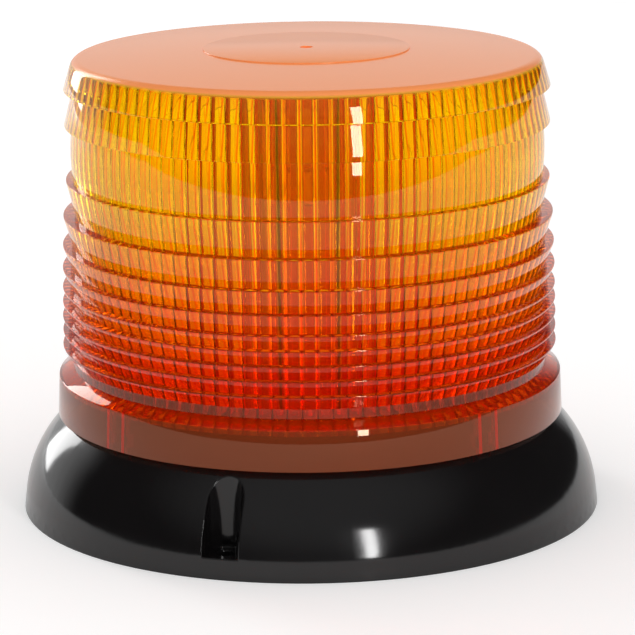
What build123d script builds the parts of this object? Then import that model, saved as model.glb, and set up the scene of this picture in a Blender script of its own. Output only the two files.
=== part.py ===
from build123d import *
from math import cos, hypot, radians, sin
import os

# Amber flashing beacon for three-screw surface mounting.
# Millimetres, +Z up, origin at the centre of the underside, front towards -Y.
# Angles are directions seen from above, counter-clockwise from +X.

# Lens skirt, the plain collar that sits over the neck of the base
skirt_radius = 65.6
skirt_draft = 0.5
skirt_wall = 2.4
skirt_height = 10.3
flange_rise = 2.0
flute_band_height = 2.5
flute_band_inset = 3.7

# Insets are measured inwards from the skirt's radius
# Catadioptric rings from the lowest up: height of each, and inset of its rim
ring_heights = [3.5, 3.8, 3.7, 3.8, 3.8, 5.1, 5.9, 7.6, 9.2]
ring_insets = [1.7, 1.8, 1.8, 1.9, 2.0, 2.1, 2.3, 2.6, 3.5]
ring_depth = 2.2
rim_land = 0.4

# Focal belt and the two flared rings above it
belt_height = 14.1
belt_inset = 5.3
belt_bulge = 0.5
flare_heights = [9.2, 7.7]
flare_top_inset = 5.7
flare_rim_inset = 3.35

# Crowned top of the lens
crown_fillet = 2.0
crown_fall = 1.8
crown_thickness = 4.5
disc_radius = 26.4
disc_step = 0.3
gate_radius = 1.7
gate_depth = 0.5

# Upright flutes moulded on the inside of the lens
flute_count = 102
flute_inset = 8.8
flute_depth = 0.45

# Base housing; its shoulder lies a little inside the skirt above it
base_overhang = 9.4
band_height = 5.2
band_draft = 0.6
base_height = 24.7
shoulder_inset = 1.4
flank_bulge = 1.9
base_wall = 2.8
shoulder_round = 0.8
neck_rise = 6.9
neck_wall = 2.5
neck_gap = 3.2
deck_height = 14.0
deck_thickness = 3.0
foot_ring_wall = 2.0
rib_thickness = 1.8
ribs_per_bay = 5

# Screw pockets in the flank
pocket_count = 3
pocket_angle = 252.5
pocket_width = 9.3
pocket_wall = 2.4
bolt_hole_radius = 2.25
bolt_edge_distance = 5.5

# Bayonet between the lens and the neck
bayonet_count = 4
bayonet_angle = 312.2
lug_span = 5.9
lug_height = 3.1
lug_reach = 2.3
lug_rib_span = 0.9
lug_rib_reach = 0.9
hook_thickness = 1.8
hook_reach = 1.9
hook_before = 5.2
hook_after = 5.3
stop_span = 1.6
pad_reach = 0.5
pad_before = 5.2
pad_after = 8.1

# Clearances
running_gap = 0.3
seat_gap = 0.4
sliding_gap = 0.15
thread_gap = 0.05

# Seal between neck and lens
seal_thickness = 1.6
seal_margin = 0.2

# Bottom plate, its gasket and the cable grommet
plate_recess = 1.5
plate_thickness = 2.5
plate_ledge = 1.5
plate_screw_inset = 7.5
plate_screw_count = 4
plate_boss_radius = 4.0
gasket_inner = 22.0
gasket_outer = 34.0
grommet_hole_radius = 8.0
grommet_flange_radius = 10.5
grommet_flange = 2.0
grommet_nose = 3.0
grommet_lip = 0.8
cable_radius = 3.25
cable_hole_radius = 4.0
cable_hole_circle = 31.0
cable_angle = 180.0

# Thread-forming screws; shares are of the shank's or head's own size
screw_tip_share = 0.6
head_side_share = 0.6
head_crown_share = 0.7
screw_socket_share = 0.4
screw_socket_depth = 0.55
screw_socket_sides = 6
screw_radius = 1.45
screw_head_radius = 2.75
screw_head_height = 2.0
countersunk_socket_depth = 1.1
countersink_radius = 3.0
countersink_height = 1.6
countersink_taper = 42.0
plate_screw_bite = 5.0
screw_hole_radius = 1.7
boss_screw_depth = 6.0

# Driver board and what is soldered to it; offsets are outwards from the middle of
# the free ring between the tower's foot and the board's edge
board_margin = 3.5
board_thickness = 1.6
board_rise = 5.0
board_screw_inset = 6.0
board_screw_count = 4
board_screw_angle = 45.0
standoff_radius = 3.5
capacitor_radius = 5.0
capacitor_height = 16.0
capacitor_bevel = 0.6
capacitor_offset = 2.0
capacitor_angles = [0.0, 22.0]
inductor_size = 12.0
inductor_height = 6.5
inductor_bevel = 2.0
inductor_angle = 300.0
transistor_length = 9.0
transistor_width = 10.0
transistor_height = 4.4
transistor_offset = 2.0
transistor_angles = [100.0, 118.0]
chip_length = 5.0
chip_width = 4.0
chip_height = 1.6
chip_offset = -6.0
chip_angles = [68.0, 250.0]
terminal_poles = 3
terminal_pitch = 5.0
terminal_depth = 8.0
terminal_height = 10.0
terminal_offset = 4.0
terminal_entry = 3.4
terminal_well_radius = 1.9
terminal_well_depth = 3.0
terminal_screw_rise = 2.2
terminal_screw_slot = 0.7

# Light tower
led_rows = 3
led_pitch = 8.0
tower_margin = 11.75
tower_flats = 25.0
tower_sides = 6
tower_bore_radius = 7.0
foot_rise = 10.0
foot_radius = 26.0
foot_thickness = 3.0
foot_spigot = 8.0
foot_screw_circle = 21.5
foot_screw_count = 3
foot_screw_angle = 90.0
foot_boss_radius = 3.5
collar_radius = 18.5
collar_thickness = 1.6
tape_thickness = 0.25
tape_width = 12.8
led_board_width = 13.4
led_board_thickness = 1.6
led_size = 5.0
led_height = 1.6
led_side_angle = 14.0
cap_thickness = 2.5
cap_margin = 0.4
cap_bevel = 0.8
tie_radius = 2.0
tie_head_radius = 4.0
tie_head_height = 3.0
header_pins_count = 4
header_pitch = 2.54
header_pin = 0.64
pin_hole_margin = 0.16
header_depth = 2.5
header_height = 2.9
header_circle = 16.6
header_angle = 270.0
pin_tail = 0.9

# Levels and radii that follow from the sizes above
base_radius = skirt_radius + base_overhang
band_top_radius = base_radius - band_draft
shoulder_radius = skirt_radius - shoulder_inset
skirt_inner = skirt_radius - skirt_wall
neck_radius = skirt_inner - neck_gap
neck_inner = neck_radius - neck_wall
ring_rims = [skirt_radius - inset for inset in ring_insets]
belt_radius = skirt_radius - belt_inset
flare_top_radius = skirt_radius - flare_top_inset
flare_rim_radius = skirt_radius - flare_rim_inset
flute_radius = skirt_radius - flute_inset
neck_top = base_height + neck_rise
lens_foot = base_height + running_gap
lens_ceiling = neck_top + seal_thickness + running_gap
skirt_top = lens_foot + skirt_height
flange_top = skirt_top + flange_rise
rings_bottom = flange_top + flute_band_height
belt_bottom = rings_bottom + sum(ring_heights)
belt_top = belt_bottom + belt_height
flares_top = belt_top + sum(flare_heights)
lens_top = flares_top + crown_fall
cavity_top = lens_top - crown_thickness
bolt_circle = base_radius - bolt_edge_distance
pocket_radius = pocket_width / 2
deck_bottom = deck_height - deck_thickness
plate_top = plate_recess + plate_thickness
plate_radius = neck_inner + plate_ledge
plate_screw_circle = neck_inner - plate_screw_inset
board_radius = neck_inner - board_margin
board_screw_circle = board_radius - board_screw_inset
component_circle = (foot_radius + board_radius) / 2
board_bottom = deck_height + board_rise
board_top = board_bottom + board_thickness
foot_bottom = deck_height + foot_rise
foot_top = foot_bottom + foot_thickness
collar_top = foot_top + collar_thickness
focal_height = belt_bottom + belt_height / 2
tower_top = focal_height + tower_margin
cap_top = tower_top + cap_thickness
face_distance = tower_flats / 2
board_face = face_distance + tape_thickness + led_board_thickness
side_angles = [270.0 + 360.0 * side / tower_sides for side in range(tower_sides)]
tower_turn = side_angles[0] + 180.0 / tower_sides
bayonet_angles = [bayonet_angle + 360.0 * lug / bayonet_count for lug in range(bayonet_count)]
pocket_angles = [pocket_angle + 360.0 * bay / pocket_count for bay in range(pocket_count)]
# Holes run a little past the face they open on
overrun = 1.0


def at(radius, angle):
    """Point on a circle about the origin."""
    return (radius * cos(radians(angle)), radius * sin(radians(angle)))


def ring_sector(inner, outer, start, span):
    """Flat sector of a ring."""
    with BuildSketch() as sector:
        with BuildLine():
            CenterArc((0, 0), outer, start, span)
            CenterArc((0, 0), inner, start, span)
            Line(at(outer, start), at(inner, start))
            Line(at(outer, start + span), at(inner, start + span))
        make_face()
    return sector.sketch


def spots(circle, angles, level=0.0):
    """Places on a circle at one level, each turned to face outwards."""
    return [Location((*at(circle, angle), level), (0, 0, angle)) for angle in angles]


def even(count, first):
    """Directions spread evenly round the axis."""
    return [first + 360.0 * index / count for index in range(count)]


def side_planes(distance, level):
    """Upright planes on the sides of the light tower, facing outwards."""
    return [Plane(origin=(*at(distance, angle), level),
                  x_dir=(-sin(radians(angle)), cos(radians(angle)), 0),
                  z_dir=(cos(radians(angle)), sin(radians(angle)), 0))
            for angle in side_angles]


def bulged_arc(start, end, bulge):
    """Arc in a profile that stands out from its chord, to the right of its direction."""
    run = (end[0] - start[0], end[1] - start[1])
    length = hypot(*run)
    middle = ((start[0] + end[0]) / 2 + bulge * run[1] / length,
              (start[1] + end[1]) / 2 - bulge * run[0] / length)
    return ThreePointArc(start, middle, end)


def pan_screw(seat, length, shank_radius=screw_radius, head_radius=screw_head_radius,
              head_height=screw_head_height):
    """Pan-head screw that points down from its seat."""
    with BuildPart() as screw:
        with BuildSketch(Plane.XZ):
            with BuildLine():
                tip = seat - length
                top = seat + head_height
                Polyline((0, tip), (shank_radius * screw_tip_share, tip),
                         (shank_radius, tip + shank_radius), (shank_radius, seat),
                         (head_radius, seat), (head_radius, seat + head_height * head_side_share),
                         (head_radius * head_crown_share, top), (0, top), (0, tip))
            make_face()
        revolve(axis=Axis.Z)
        with BuildSketch(Plane.XY.offset(top)):
            RegularPolygon(head_radius * screw_socket_share, screw_socket_sides)
        extrude(amount=-head_height * screw_socket_depth, mode=Mode.SUBTRACT)
    return screw.part


def finish(builder, label):
    """Names a finished piece and writes it out."""
    builder.part.label = label
    export_step(builder.part, f"parts/{label}.step")


os.makedirs("parts", exist_ok=True)

# Lens: the outer form is turned, and the fluted core is cut out of it
with BuildSketch() as flute_core:
    flute_step = 360.0 / flute_count
    with BuildLine():
        for flute in range(flute_count):
            start = flute * flute_step
            ThreePointArc(at(flute_radius, start),
                          at(flute_radius - flute_depth, start + flute_step / 2),
                          at(flute_radius, start + flute_step))
    make_face()

with BuildPart() as lens:
    with BuildSketch(Plane.XZ) as lens_profile:
        with BuildLine():
            band_radius = skirt_radius - skirt_draft - flute_band_inset
            Polyline((0, lens_foot), (skirt_radius, lens_foot),
                     (skirt_radius - skirt_draft, skirt_top), (band_radius, flange_top),
                     (band_radius, rings_bottom))
            level = rings_bottom
            inner = band_radius
            for height, rim in zip(ring_heights, ring_rims):
                root = rim - ring_depth
                Polyline((inner, level), (root, level), (rim, level + height - rim_land),
                         (rim, level + height))
                level = level + height
                inner = rim
            Line((inner, level), (belt_radius, level))
            ThreePointArc((belt_radius, level),
                          (belt_radius + belt_bulge, level + belt_height / 2),
                          (belt_radius, level + belt_height))
            level = belt_top
            inner = belt_radius
            for height in flare_heights:
                Polyline((inner, level), (flare_rim_radius, level),
                         (flare_top_radius, level + height))
                level = level + height
                inner = flare_top_radius
            crown_edge = (flare_top_radius, flares_top)
            Polyline(crown_edge, (disc_radius, lens_top - disc_step),
                     (disc_radius, lens_top), (0, lens_top), (0, lens_foot))
        make_face()
        fillet(lens_profile.vertices().sort_by_distance(crown_edge)[0], radius=crown_fillet)
    revolve(axis=Axis.Z)
    with BuildSketch(Plane.XY.offset(lens_foot)):
        Circle(skirt_inner)
    extrude(amount=lens_ceiling - lens_foot, mode=Mode.SUBTRACT)
    with BuildSketch(Plane.XY.offset(lens_ceiling)):
        add(flute_core.sketch)
    extrude(amount=cavity_top - lens_ceiling, mode=Mode.SUBTRACT)
    with Locations((0, 0, lens_top)):
        Hole(gate_radius, depth=gate_depth)
    # Lugs at the foot of the skirt, each with two upright ribs above its ends
    lug_bottom = neck_top - hook_thickness - seat_gap - lug_height
    with BuildSketch(Plane.XY.offset(lug_bottom)):
        for angle in bayonet_angles:
            add(ring_sector(skirt_inner - lug_reach, skirt_inner + sliding_gap,
                            angle - lug_span / 2, lug_span))
    extrude(amount=lug_height)
    with BuildSketch(Plane.XY.offset(lug_bottom)):
        for angle in bayonet_angles:
            for end in (angle - lug_span / 2, angle + lug_span / 2 - lug_rib_span):
                add(ring_sector(skirt_inner - lug_rib_reach, skirt_inner + sliding_gap,
                                end, lug_rib_span))
    extrude(amount=lens_ceiling - lug_bottom + sliding_gap)
finish(lens, "lens")

# Base housing: turned form, moulded hollow from below, with its neck and deck
with BuildPart() as base_channel:
    with BuildSketch(Plane.XZ):
        with BuildLine():
            channel_inner = plate_radius + foot_ring_wall
            channel_foot = base_radius - base_wall
            channel_outer = band_top_radius - base_wall
            channel_top = base_height - base_wall
            channel_crest = shoulder_radius - base_wall / 2
            Polyline((channel_crest, channel_top), (channel_inner, channel_top),
                     (channel_inner, 0), (channel_foot, 0), (channel_outer, band_height))
            bulged_arc((channel_outer, band_height), (channel_crest, channel_top),
                       flank_bulge)
        make_face()
    revolve(axis=Axis.Z)
    # Screw bosses and stiffening ribs stay solid in the channel
    with BuildSketch():
        boss_width = pocket_width + 2 * pocket_wall
        with Locations(*spots(bolt_circle, pocket_angles)):
            Circle(boss_width / 2)
        with Locations(*spots(bolt_circle / 2, pocket_angles)):
            Rectangle(bolt_circle, boss_width)
        bay = 360.0 / pocket_count
        rib_angles = [angle + bay * rib / (ribs_per_bay + 1)
                      for angle in pocket_angles for rib in range(1, ribs_per_bay + 1)]
        with Locations(*spots(base_radius / 2, rib_angles)):
            Rectangle(base_radius, rib_thickness)
    extrude(amount=base_height, mode=Mode.SUBTRACT)

with BuildPart() as base_housing:
    with BuildSketch(Plane.XZ):
        with BuildLine():
            Polyline((0, deck_bottom), (neck_inner, deck_bottom), (neck_inner, plate_top),
                     (plate_radius, plate_top), (plate_radius, 0), (base_radius, 0),
                     (band_top_radius, band_height))
            bulged_arc((band_top_radius, band_height),
                       (shoulder_radius, base_height - shoulder_round), flank_bulge)
            Polyline((shoulder_radius, base_height - shoulder_round),
                     (shoulder_radius - shoulder_round, base_height),
                     (neck_radius, base_height), (neck_radius, neck_top),
                     (neck_inner, neck_top), (neck_inner, deck_height), (0, deck_height),
                     (0, deck_bottom))
        make_face()
    revolve(axis=Axis.Z)
    add(base_channel.part, mode=Mode.SUBTRACT)
    # Raised pads, hooks and stops of the bayonet on the outside of the neck
    with BuildSketch(Plane.XY.offset(base_height)):
        pad_span = 360.0 / bayonet_count - pad_before - pad_after
        for angle in bayonet_angles:
            add(ring_sector(neck_radius - sliding_gap, neck_radius + pad_reach,
                            angle + pad_after, pad_span))
            add(ring_sector(neck_radius - sliding_gap, neck_radius + hook_reach,
                            angle - hook_before, stop_span))
    extrude(amount=neck_rise)
    with BuildSketch(Plane.XY.offset(neck_top)):
        for angle in bayonet_angles:
            add(ring_sector(neck_radius - sliding_gap, neck_radius + hook_reach,
                            angle - hook_before, hook_before + hook_after))
    extrude(amount=-hook_thickness)
    # Bosses for the light tower and the driver board on the deck
    with BuildSketch(Plane.XY.offset(deck_height)):
        with Locations(*spots(foot_screw_circle, even(foot_screw_count, foot_screw_angle))):
            Circle(foot_boss_radius)
    extrude(amount=foot_rise)
    with BuildSketch(Plane.XY.offset(deck_height)):
        with Locations(*spots(board_screw_circle, even(board_screw_count, board_screw_angle))):
            Circle(standoff_radius)
    extrude(amount=board_rise)
    # Bosses for the bottom plate under the deck
    with BuildSketch(Plane.XY.offset(deck_bottom)):
        with Locations(*spots(plate_screw_circle, even(plate_screw_count, 0.0))):
            Circle(plate_boss_radius)
    extrude(amount=plate_top - deck_bottom)
    # Pilot holes, the cable hole, the screw pockets and their bolt holes
    with Locations(*spots(foot_screw_circle, even(foot_screw_count, foot_screw_angle),
                          foot_bottom)):
        Hole(screw_radius + thread_gap, depth=boss_screw_depth)
    with Locations(*spots(board_screw_circle, even(board_screw_count, board_screw_angle),
                          board_bottom)):
        Hole(screw_radius + thread_gap, depth=boss_screw_depth)
    with Locations(*spots(plate_screw_circle, even(plate_screw_count, 0.0),
                          plate_top + boss_screw_depth)):
        Hole(screw_radius + thread_gap, depth=boss_screw_depth + overrun)
    with Locations(*spots(cable_hole_circle, [cable_angle], deck_height)):
        Hole(cable_hole_radius, depth=deck_thickness + overrun)
    with BuildSketch(Plane.XY.offset(band_height)):
        with Locations(*spots(bolt_circle, pocket_angles)):
            Circle(pocket_radius)
        with Locations(*spots(bolt_circle + pocket_width / 2, pocket_angles)):
            Rectangle(pocket_width, pocket_width)
    extrude(amount=base_height, mode=Mode.SUBTRACT)
    with Locations(*spots(bolt_circle, pocket_angles, band_height)):
        Hole(bolt_hole_radius, depth=band_height + overrun)
finish(base_housing, "base_housing")

# Flat seal on top of the neck
with BuildPart() as lens_seal:
    with BuildSketch(Plane.XY.offset(neck_top)):
        Circle(neck_radius - seal_margin)
        Circle(neck_inner + seal_margin, mode=Mode.SUBTRACT)
    extrude(amount=seal_thickness)
finish(lens_seal, "lens_seal")

# Bottom plate with countersunk screws, cable grommet and gasket
with BuildPart() as bottom_plate:
    with BuildSketch(Plane.XY.offset(plate_recess)):
        Circle(plate_radius - running_gap)
        Circle(grommet_hole_radius, mode=Mode.SUBTRACT)
    extrude(amount=plate_thickness)
    with BuildSketch(Plane.XY.offset(plate_recess)):
        with Locations(*spots(plate_screw_circle, even(plate_screw_count, 0.0))):
            Circle(screw_hole_radius)
    extrude(amount=plate_thickness, mode=Mode.SUBTRACT)
    with BuildSketch(Plane.XY.offset(plate_recess)):
        with Locations(*spots(plate_screw_circle, even(plate_screw_count, 0.0))):
            Circle(countersink_radius)
    extrude(amount=countersink_height, taper=countersink_taper, mode=Mode.SUBTRACT)
finish(bottom_plate, "bottom_plate")

with BuildPart() as plate_screw:
    with BuildSketch(Plane.XZ):
        with BuildLine():
            head = countersink_radius - thread_gap
            shank_top = plate_top + plate_screw_bite
            Polyline((0, plate_recess), (head, plate_recess),
                     (screw_radius, plate_recess + countersink_height),
                     (screw_radius, shank_top - screw_radius),
                     (screw_radius * screw_tip_share, shank_top), (0, shank_top),
                     (0, plate_recess))
        make_face()
    revolve(axis=Axis.Z)
    with BuildSketch(Plane.XY.offset(plate_recess)):
        RegularPolygon(head * screw_socket_share, screw_socket_sides)
    extrude(amount=countersunk_socket_depth, mode=Mode.SUBTRACT)

with BuildPart() as plate_screws:
    with Locations(*spots(plate_screw_circle, even(plate_screw_count, 0.0))):
        add(plate_screw.part)
finish(plate_screws, "plate_screws")

with BuildPart() as cable_grommet:
    with BuildSketch(Plane.XZ):
        with BuildLine():
            groove = grommet_hole_radius - thread_gap
            Polyline((cable_radius, running_gap), (grommet_flange_radius - seat_gap, running_gap),
                     (grommet_flange_radius, plate_recess), (groove, plate_recess),
                     (groove, plate_top), (grommet_flange_radius, plate_top),
                     (grommet_flange_radius - seat_gap, plate_top + grommet_flange),
                     (cable_radius + grommet_flange, plate_top + grommet_flange),
                     (cable_radius + grommet_lip, plate_top + grommet_flange + grommet_nose),
                     (cable_radius, plate_top + grommet_flange + grommet_nose),
                     (cable_radius, running_gap))
        make_face()
    revolve(axis=Axis.Z)
finish(cable_grommet, "cable_grommet")

with BuildPart() as mounting_gasket:
    with BuildSketch():
        Circle(gasket_outer)
        Circle(gasket_inner, mode=Mode.SUBTRACT)
    extrude(amount=plate_recess)
finish(mounting_gasket, "mounting_gasket")

# Driver board on its standoffs
header_spots = [Location((*at(header_circle, header_angle), 0), (0, 0, header_angle))
                * Location((0, (pin - (header_pins_count - 1) / 2) * header_pitch, 0))
                for pin in range(header_pins_count)]
pin_hole_radius = header_pin / 2 + pin_hole_margin
with BuildPart() as driver_board:
    with BuildSketch(Plane.XY.offset(board_bottom)):
        Circle(board_radius)
        with Locations(*spots(board_screw_circle, even(board_screw_count, board_screw_angle))):
            Circle(screw_hole_radius, mode=Mode.SUBTRACT)
        with Locations(*spots(foot_screw_circle, even(foot_screw_count, foot_screw_angle))):
            Circle(foot_boss_radius + running_gap, mode=Mode.SUBTRACT)
        with Locations(*spots(cable_hole_circle, [cable_angle])):
            Circle(cable_hole_radius, mode=Mode.SUBTRACT)
        with Locations(*header_spots):
            Circle(pin_hole_radius, mode=Mode.SUBTRACT)
    extrude(amount=board_thickness)
finish(driver_board, "driver_board")

board_screw = pan_screw(board_top, board_thickness + boss_screw_depth - overrun)
with BuildPart() as board_screws:
    with Locations(*spots(board_screw_circle, even(board_screw_count, board_screw_angle))):
        add(board_screw)
finish(board_screws, "board_screws")

with BuildPart() as capacitors:
    with BuildSketch(Plane.XY.offset(board_top)):
        with Locations(*spots(component_circle + capacitor_offset, capacitor_angles)):
            Circle(capacitor_radius)
    extrude(amount=capacitor_height)
    chamfer(capacitors.edges().group_by(Axis.Z)[-1], length=capacitor_bevel)
finish(capacitors, "capacitors")

with BuildPart() as inductor:
    with Locations(*spots(component_circle, [inductor_angle], board_top)):
        Box(inductor_size, inductor_size, inductor_height,
            align=(Align.CENTER, Align.CENTER, Align.MIN))
    chamfer(inductor.edges().filter_by(Axis.Z), length=inductor_bevel)
finish(inductor, "inductor")

with BuildPart() as power_transistors:
    with Locations(*spots(component_circle + transistor_offset, transistor_angles, board_top)):
        Box(transistor_length, transistor_width, transistor_height,
            align=(Align.CENTER, Align.CENTER, Align.MIN))
finish(power_transistors, "power_transistors")

with BuildPart() as driver_chips:
    with Locations(*spots(component_circle + chip_offset, chip_angles, board_top)):
        Box(chip_length, chip_width, chip_height,
            align=(Align.CENTER, Align.CENTER, Align.MIN))
finish(driver_chips, "driver_chips")

# Supply terminal: cable entries face the axis, its clamping screws stand in wells
pole_offsets = [(pole - (terminal_poles - 1) / 2) * terminal_pitch
                for pole in range(terminal_poles)]
terminal_spot = spots(component_circle + terminal_offset, [cable_angle], board_top)[0]
with BuildPart() as supply_terminal:
    with Locations(terminal_spot):
        Box(terminal_depth, terminal_poles * terminal_pitch, terminal_height,
            align=(Align.CENTER, Align.CENTER, Align.MIN))
    with Locations(*[terminal_spot * Location((-terminal_depth / 2, offset, terminal_entry))
                     for offset in pole_offsets]):
        Box(terminal_depth, terminal_entry, terminal_entry, mode=Mode.SUBTRACT)
    with Locations(*[terminal_spot * Location((0, offset, terminal_height))
                     for offset in pole_offsets]):
        Hole(terminal_well_radius, depth=terminal_well_depth)
finish(supply_terminal, "supply_terminal")

with BuildPart() as terminal_screws:
    well_floor = terminal_height - terminal_well_depth
    with Locations(*[terminal_spot * Location((0, offset, well_floor))
                     for offset in pole_offsets]):
        Cylinder(terminal_well_radius - sliding_gap, terminal_screw_rise,
                 align=(Align.CENTER, Align.CENTER, Align.MIN))
    with Locations(*[terminal_spot * Location((0, offset, well_floor + terminal_screw_rise))
                     for offset in pole_offsets]):
        Box(terminal_well_radius * 2, terminal_screw_slot, terminal_screw_slot * 2,
            mode=Mode.SUBTRACT)
finish(terminal_screws, "terminal_screws")

# Foot of the light tower, with a spigot that fits the tower's bore
with BuildPart() as tower_foot:
    with BuildSketch(Plane.XY.offset(foot_bottom)):
        Circle(foot_radius)
        with Locations(*spots(foot_screw_circle, even(foot_screw_count, foot_screw_angle))):
            Circle(screw_hole_radius, mode=Mode.SUBTRACT)
        with Locations(*spots(header_circle, [header_angle])):
            Rectangle(header_depth + 2 * seat_gap,
                      header_pins_count * header_pitch + 2 * seat_gap, mode=Mode.SUBTRACT)
    extrude(amount=foot_thickness)
    with BuildSketch(Plane.XY.offset(foot_top)):
        Circle(tower_bore_radius - thread_gap)
    extrude(amount=foot_spigot)
    with Locations((0, 0, foot_top + foot_spigot)):
        Hole(tie_radius + thread_gap, depth=foot_spigot + seat_gap)
finish(tower_foot, "tower_foot")

foot_screw = pan_screw(foot_top, foot_thickness + boss_screw_depth - overrun)
with BuildPart() as foot_screws:
    with Locations(*spots(foot_screw_circle, even(foot_screw_count, foot_screw_angle))):
        add(foot_screw)
finish(foot_screws, "foot_screws")

# Collar board round the tower, joined to the driver board by a row of pins
with BuildPart() as collar_board:
    with BuildSketch(Plane.XY.offset(foot_top)):
        Circle(collar_radius)
        RegularPolygon(face_distance + sliding_gap, tower_sides, major_radius=False,
                       rotation=tower_turn, mode=Mode.SUBTRACT)
        with Locations(*header_spots):
            Circle(pin_hole_radius, mode=Mode.SUBTRACT)
    extrude(amount=collar_thickness)
finish(collar_board, "collar_board")

with BuildPart() as header_pins:
    with Locations(*[spot * Location((0, 0, board_bottom - pin_tail)) for spot in header_spots]):
        Box(header_pin, header_pin, collar_top - board_bottom + 2 * pin_tail,
            align=(Align.CENTER, Align.CENTER, Align.MIN))
finish(header_pins, "header_pins")

with BuildPart() as header_block:
    with Locations(*spots(header_circle, [header_angle], board_top)):
        Box(header_depth, header_pins_count * header_pitch, header_height,
            align=(Align.CENTER, Align.CENTER, Align.MIN))
    with Locations(*[spot * Location((0, 0, board_top)) for spot in header_spots]):
        Box(header_pin + thread_gap, header_pin + thread_gap, header_height,
            align=(Align.CENTER, Align.CENTER, Align.MIN), mode=Mode.SUBTRACT)
finish(header_block, "header_block")

# Six-sided light tower with a board on thermal tape on each side
tower_height = tower_top - foot_top
led_board_height = tower_top - collar_top
with BuildPart() as light_tower:
    with BuildSketch(Plane.XY.offset(foot_top)):
        RegularPolygon(face_distance, tower_sides, major_radius=False,
                       rotation=tower_turn)
        Circle(tower_bore_radius, mode=Mode.SUBTRACT)
    extrude(amount=tower_height)
finish(light_tower, "light_tower")

board_middle = collar_top + led_board_height / 2
with BuildPart() as thermal_tapes:
    with BuildSketch(*side_planes(face_distance, board_middle)):
        Rectangle(tape_width, led_board_height)
    extrude(amount=tape_thickness)
finish(thermal_tapes, "thermal_tapes")

with BuildPart() as led_boards:
    with BuildSketch(*side_planes(face_distance + tape_thickness, board_middle)):
        Rectangle(led_board_width, led_board_height)
    extrude(amount=led_board_thickness)
finish(led_boards, "led_boards")

with BuildPart() as leds:
    with BuildSketch(*side_planes(board_face, focal_height)):
        with GridLocations(led_size, led_pitch, 1, led_rows):
            Rectangle(led_size, led_size)
    extrude(amount=led_height, taper=led_side_angle)
finish(leds, "leds")

with BuildPart() as tower_cap:
    with BuildSketch(Plane.XY.offset(tower_top)):
        RegularPolygon(board_face + cap_margin, tower_sides, major_radius=False,
                       rotation=tower_turn)
        Circle(tie_radius + thread_gap, mode=Mode.SUBTRACT)
    extrude(amount=cap_thickness)
    chamfer(tower_cap.edges().group_by(Axis.Z)[-1].filter_by(GeomType.LINE),
            length=cap_bevel)
finish(tower_cap, "tower_cap")

tie_screw_part = pan_screw(cap_top, cap_top - foot_top - seat_gap, tie_radius,
                           tie_head_radius, tie_head_height)
with BuildPart() as tie_screw:
    add(tie_screw_part)
finish(tie_screw, "tie_screw")
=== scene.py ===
from math import atan2, cos, pi, radians, sin
import bmesh
import bpy
from bpy.props import FloatProperty, FloatVectorProperty, IntProperty, PointerProperty
from mathutils import Matrix, Vector


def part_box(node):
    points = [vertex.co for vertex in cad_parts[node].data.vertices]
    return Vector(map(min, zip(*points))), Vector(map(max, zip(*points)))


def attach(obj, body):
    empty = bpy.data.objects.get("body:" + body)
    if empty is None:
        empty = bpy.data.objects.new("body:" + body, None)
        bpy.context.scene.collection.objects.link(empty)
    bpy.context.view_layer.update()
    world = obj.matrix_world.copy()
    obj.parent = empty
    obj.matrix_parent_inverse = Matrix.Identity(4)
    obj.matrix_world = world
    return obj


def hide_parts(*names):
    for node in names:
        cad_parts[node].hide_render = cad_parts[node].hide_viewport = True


bl_info = {
    "name": "Amber Warning Beacon",
    "version": (1, 0, 0),
    "blender": (4, 5, 0),
    "location": "View3D > Sidebar > Beacon",
    "description": "Builds the look of an amber flashing beacon around its fixed frame",
    "category": "Object",
}

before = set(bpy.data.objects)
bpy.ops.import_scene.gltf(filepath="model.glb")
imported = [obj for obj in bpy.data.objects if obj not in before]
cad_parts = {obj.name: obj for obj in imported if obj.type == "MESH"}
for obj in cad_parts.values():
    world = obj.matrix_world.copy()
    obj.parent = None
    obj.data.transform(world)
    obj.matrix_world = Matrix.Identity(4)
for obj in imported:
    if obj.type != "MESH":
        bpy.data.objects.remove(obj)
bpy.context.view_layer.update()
lens_low, lens_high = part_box("lens")
seal_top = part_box("lens_seal")[1].z

# Corners of the lens nearer than MERGED become one, those nearer than NEAR to a wall lie
# on it, and those of the housing nearer than ON_CUT to a cut aren't cut again
MERGED = 1e-6
NEAR = 1e-5
ON_CUT = 1e-7

# Facets across the belt's bulge, a rounded rim and the crown's edge
BELT_STEPS = 8
RIM_STEPS = 2
CROWN_STEPS = 6

# Sockets of a Mix node, for its two inputs and its result, with numbers or colours
MIX_NUMBERS = (2, 3, 0)
MIX_COLOURS = (6, 7, 2)

WHITE = (1.0, 1.0, 1.0, 1.0)

# Scale of a pattern on each axis: the same all round, or drawn out along the tower
EVEN = (1.0, 1.0, 1.0)
ALONG_TOWER = (1.0, 1.0, 0.04)

# Noise in moulded pieces and in bare metal, and rays that look for edges to round
NOISE_DETAIL = 3.0
EDGE_SAMPLES = 6
MOTTLE_SCALE = 60.0
SHEEN_SCALE = 45.0
MACHINING_SCALE = 400.0
POLISH_SCALE = 300.0
MACHINING_RELIEF = 0.00001

# Clearness of the amber: skirt, slope above it, rings to flares, crown
SKIRT_CLEAR = 0.65
SLOPE_CLEAR = 0.96
RINGS_CLEAR = 0.98
CROWN_CLEAR = 0.08

# Where the tint, with its painted light and shade, changes: below the top of the skirt,
# above the foot of the rings, below the belt and below the crown's edge
SKIRT_CHANGE = 0.0004
RED_RINGS = 0.008
ORANGE_RINGS = 0.022
CROWN_CHANGE = 0.0008

# Roughness of the cloudy crown, and of the amber from POLISHED_FROM clearness up
CROWN_ROUGHNESS = 0.24
CLEAR_ROUGHNESS = 0.035
POLISHED_FROM = 0.6
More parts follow.
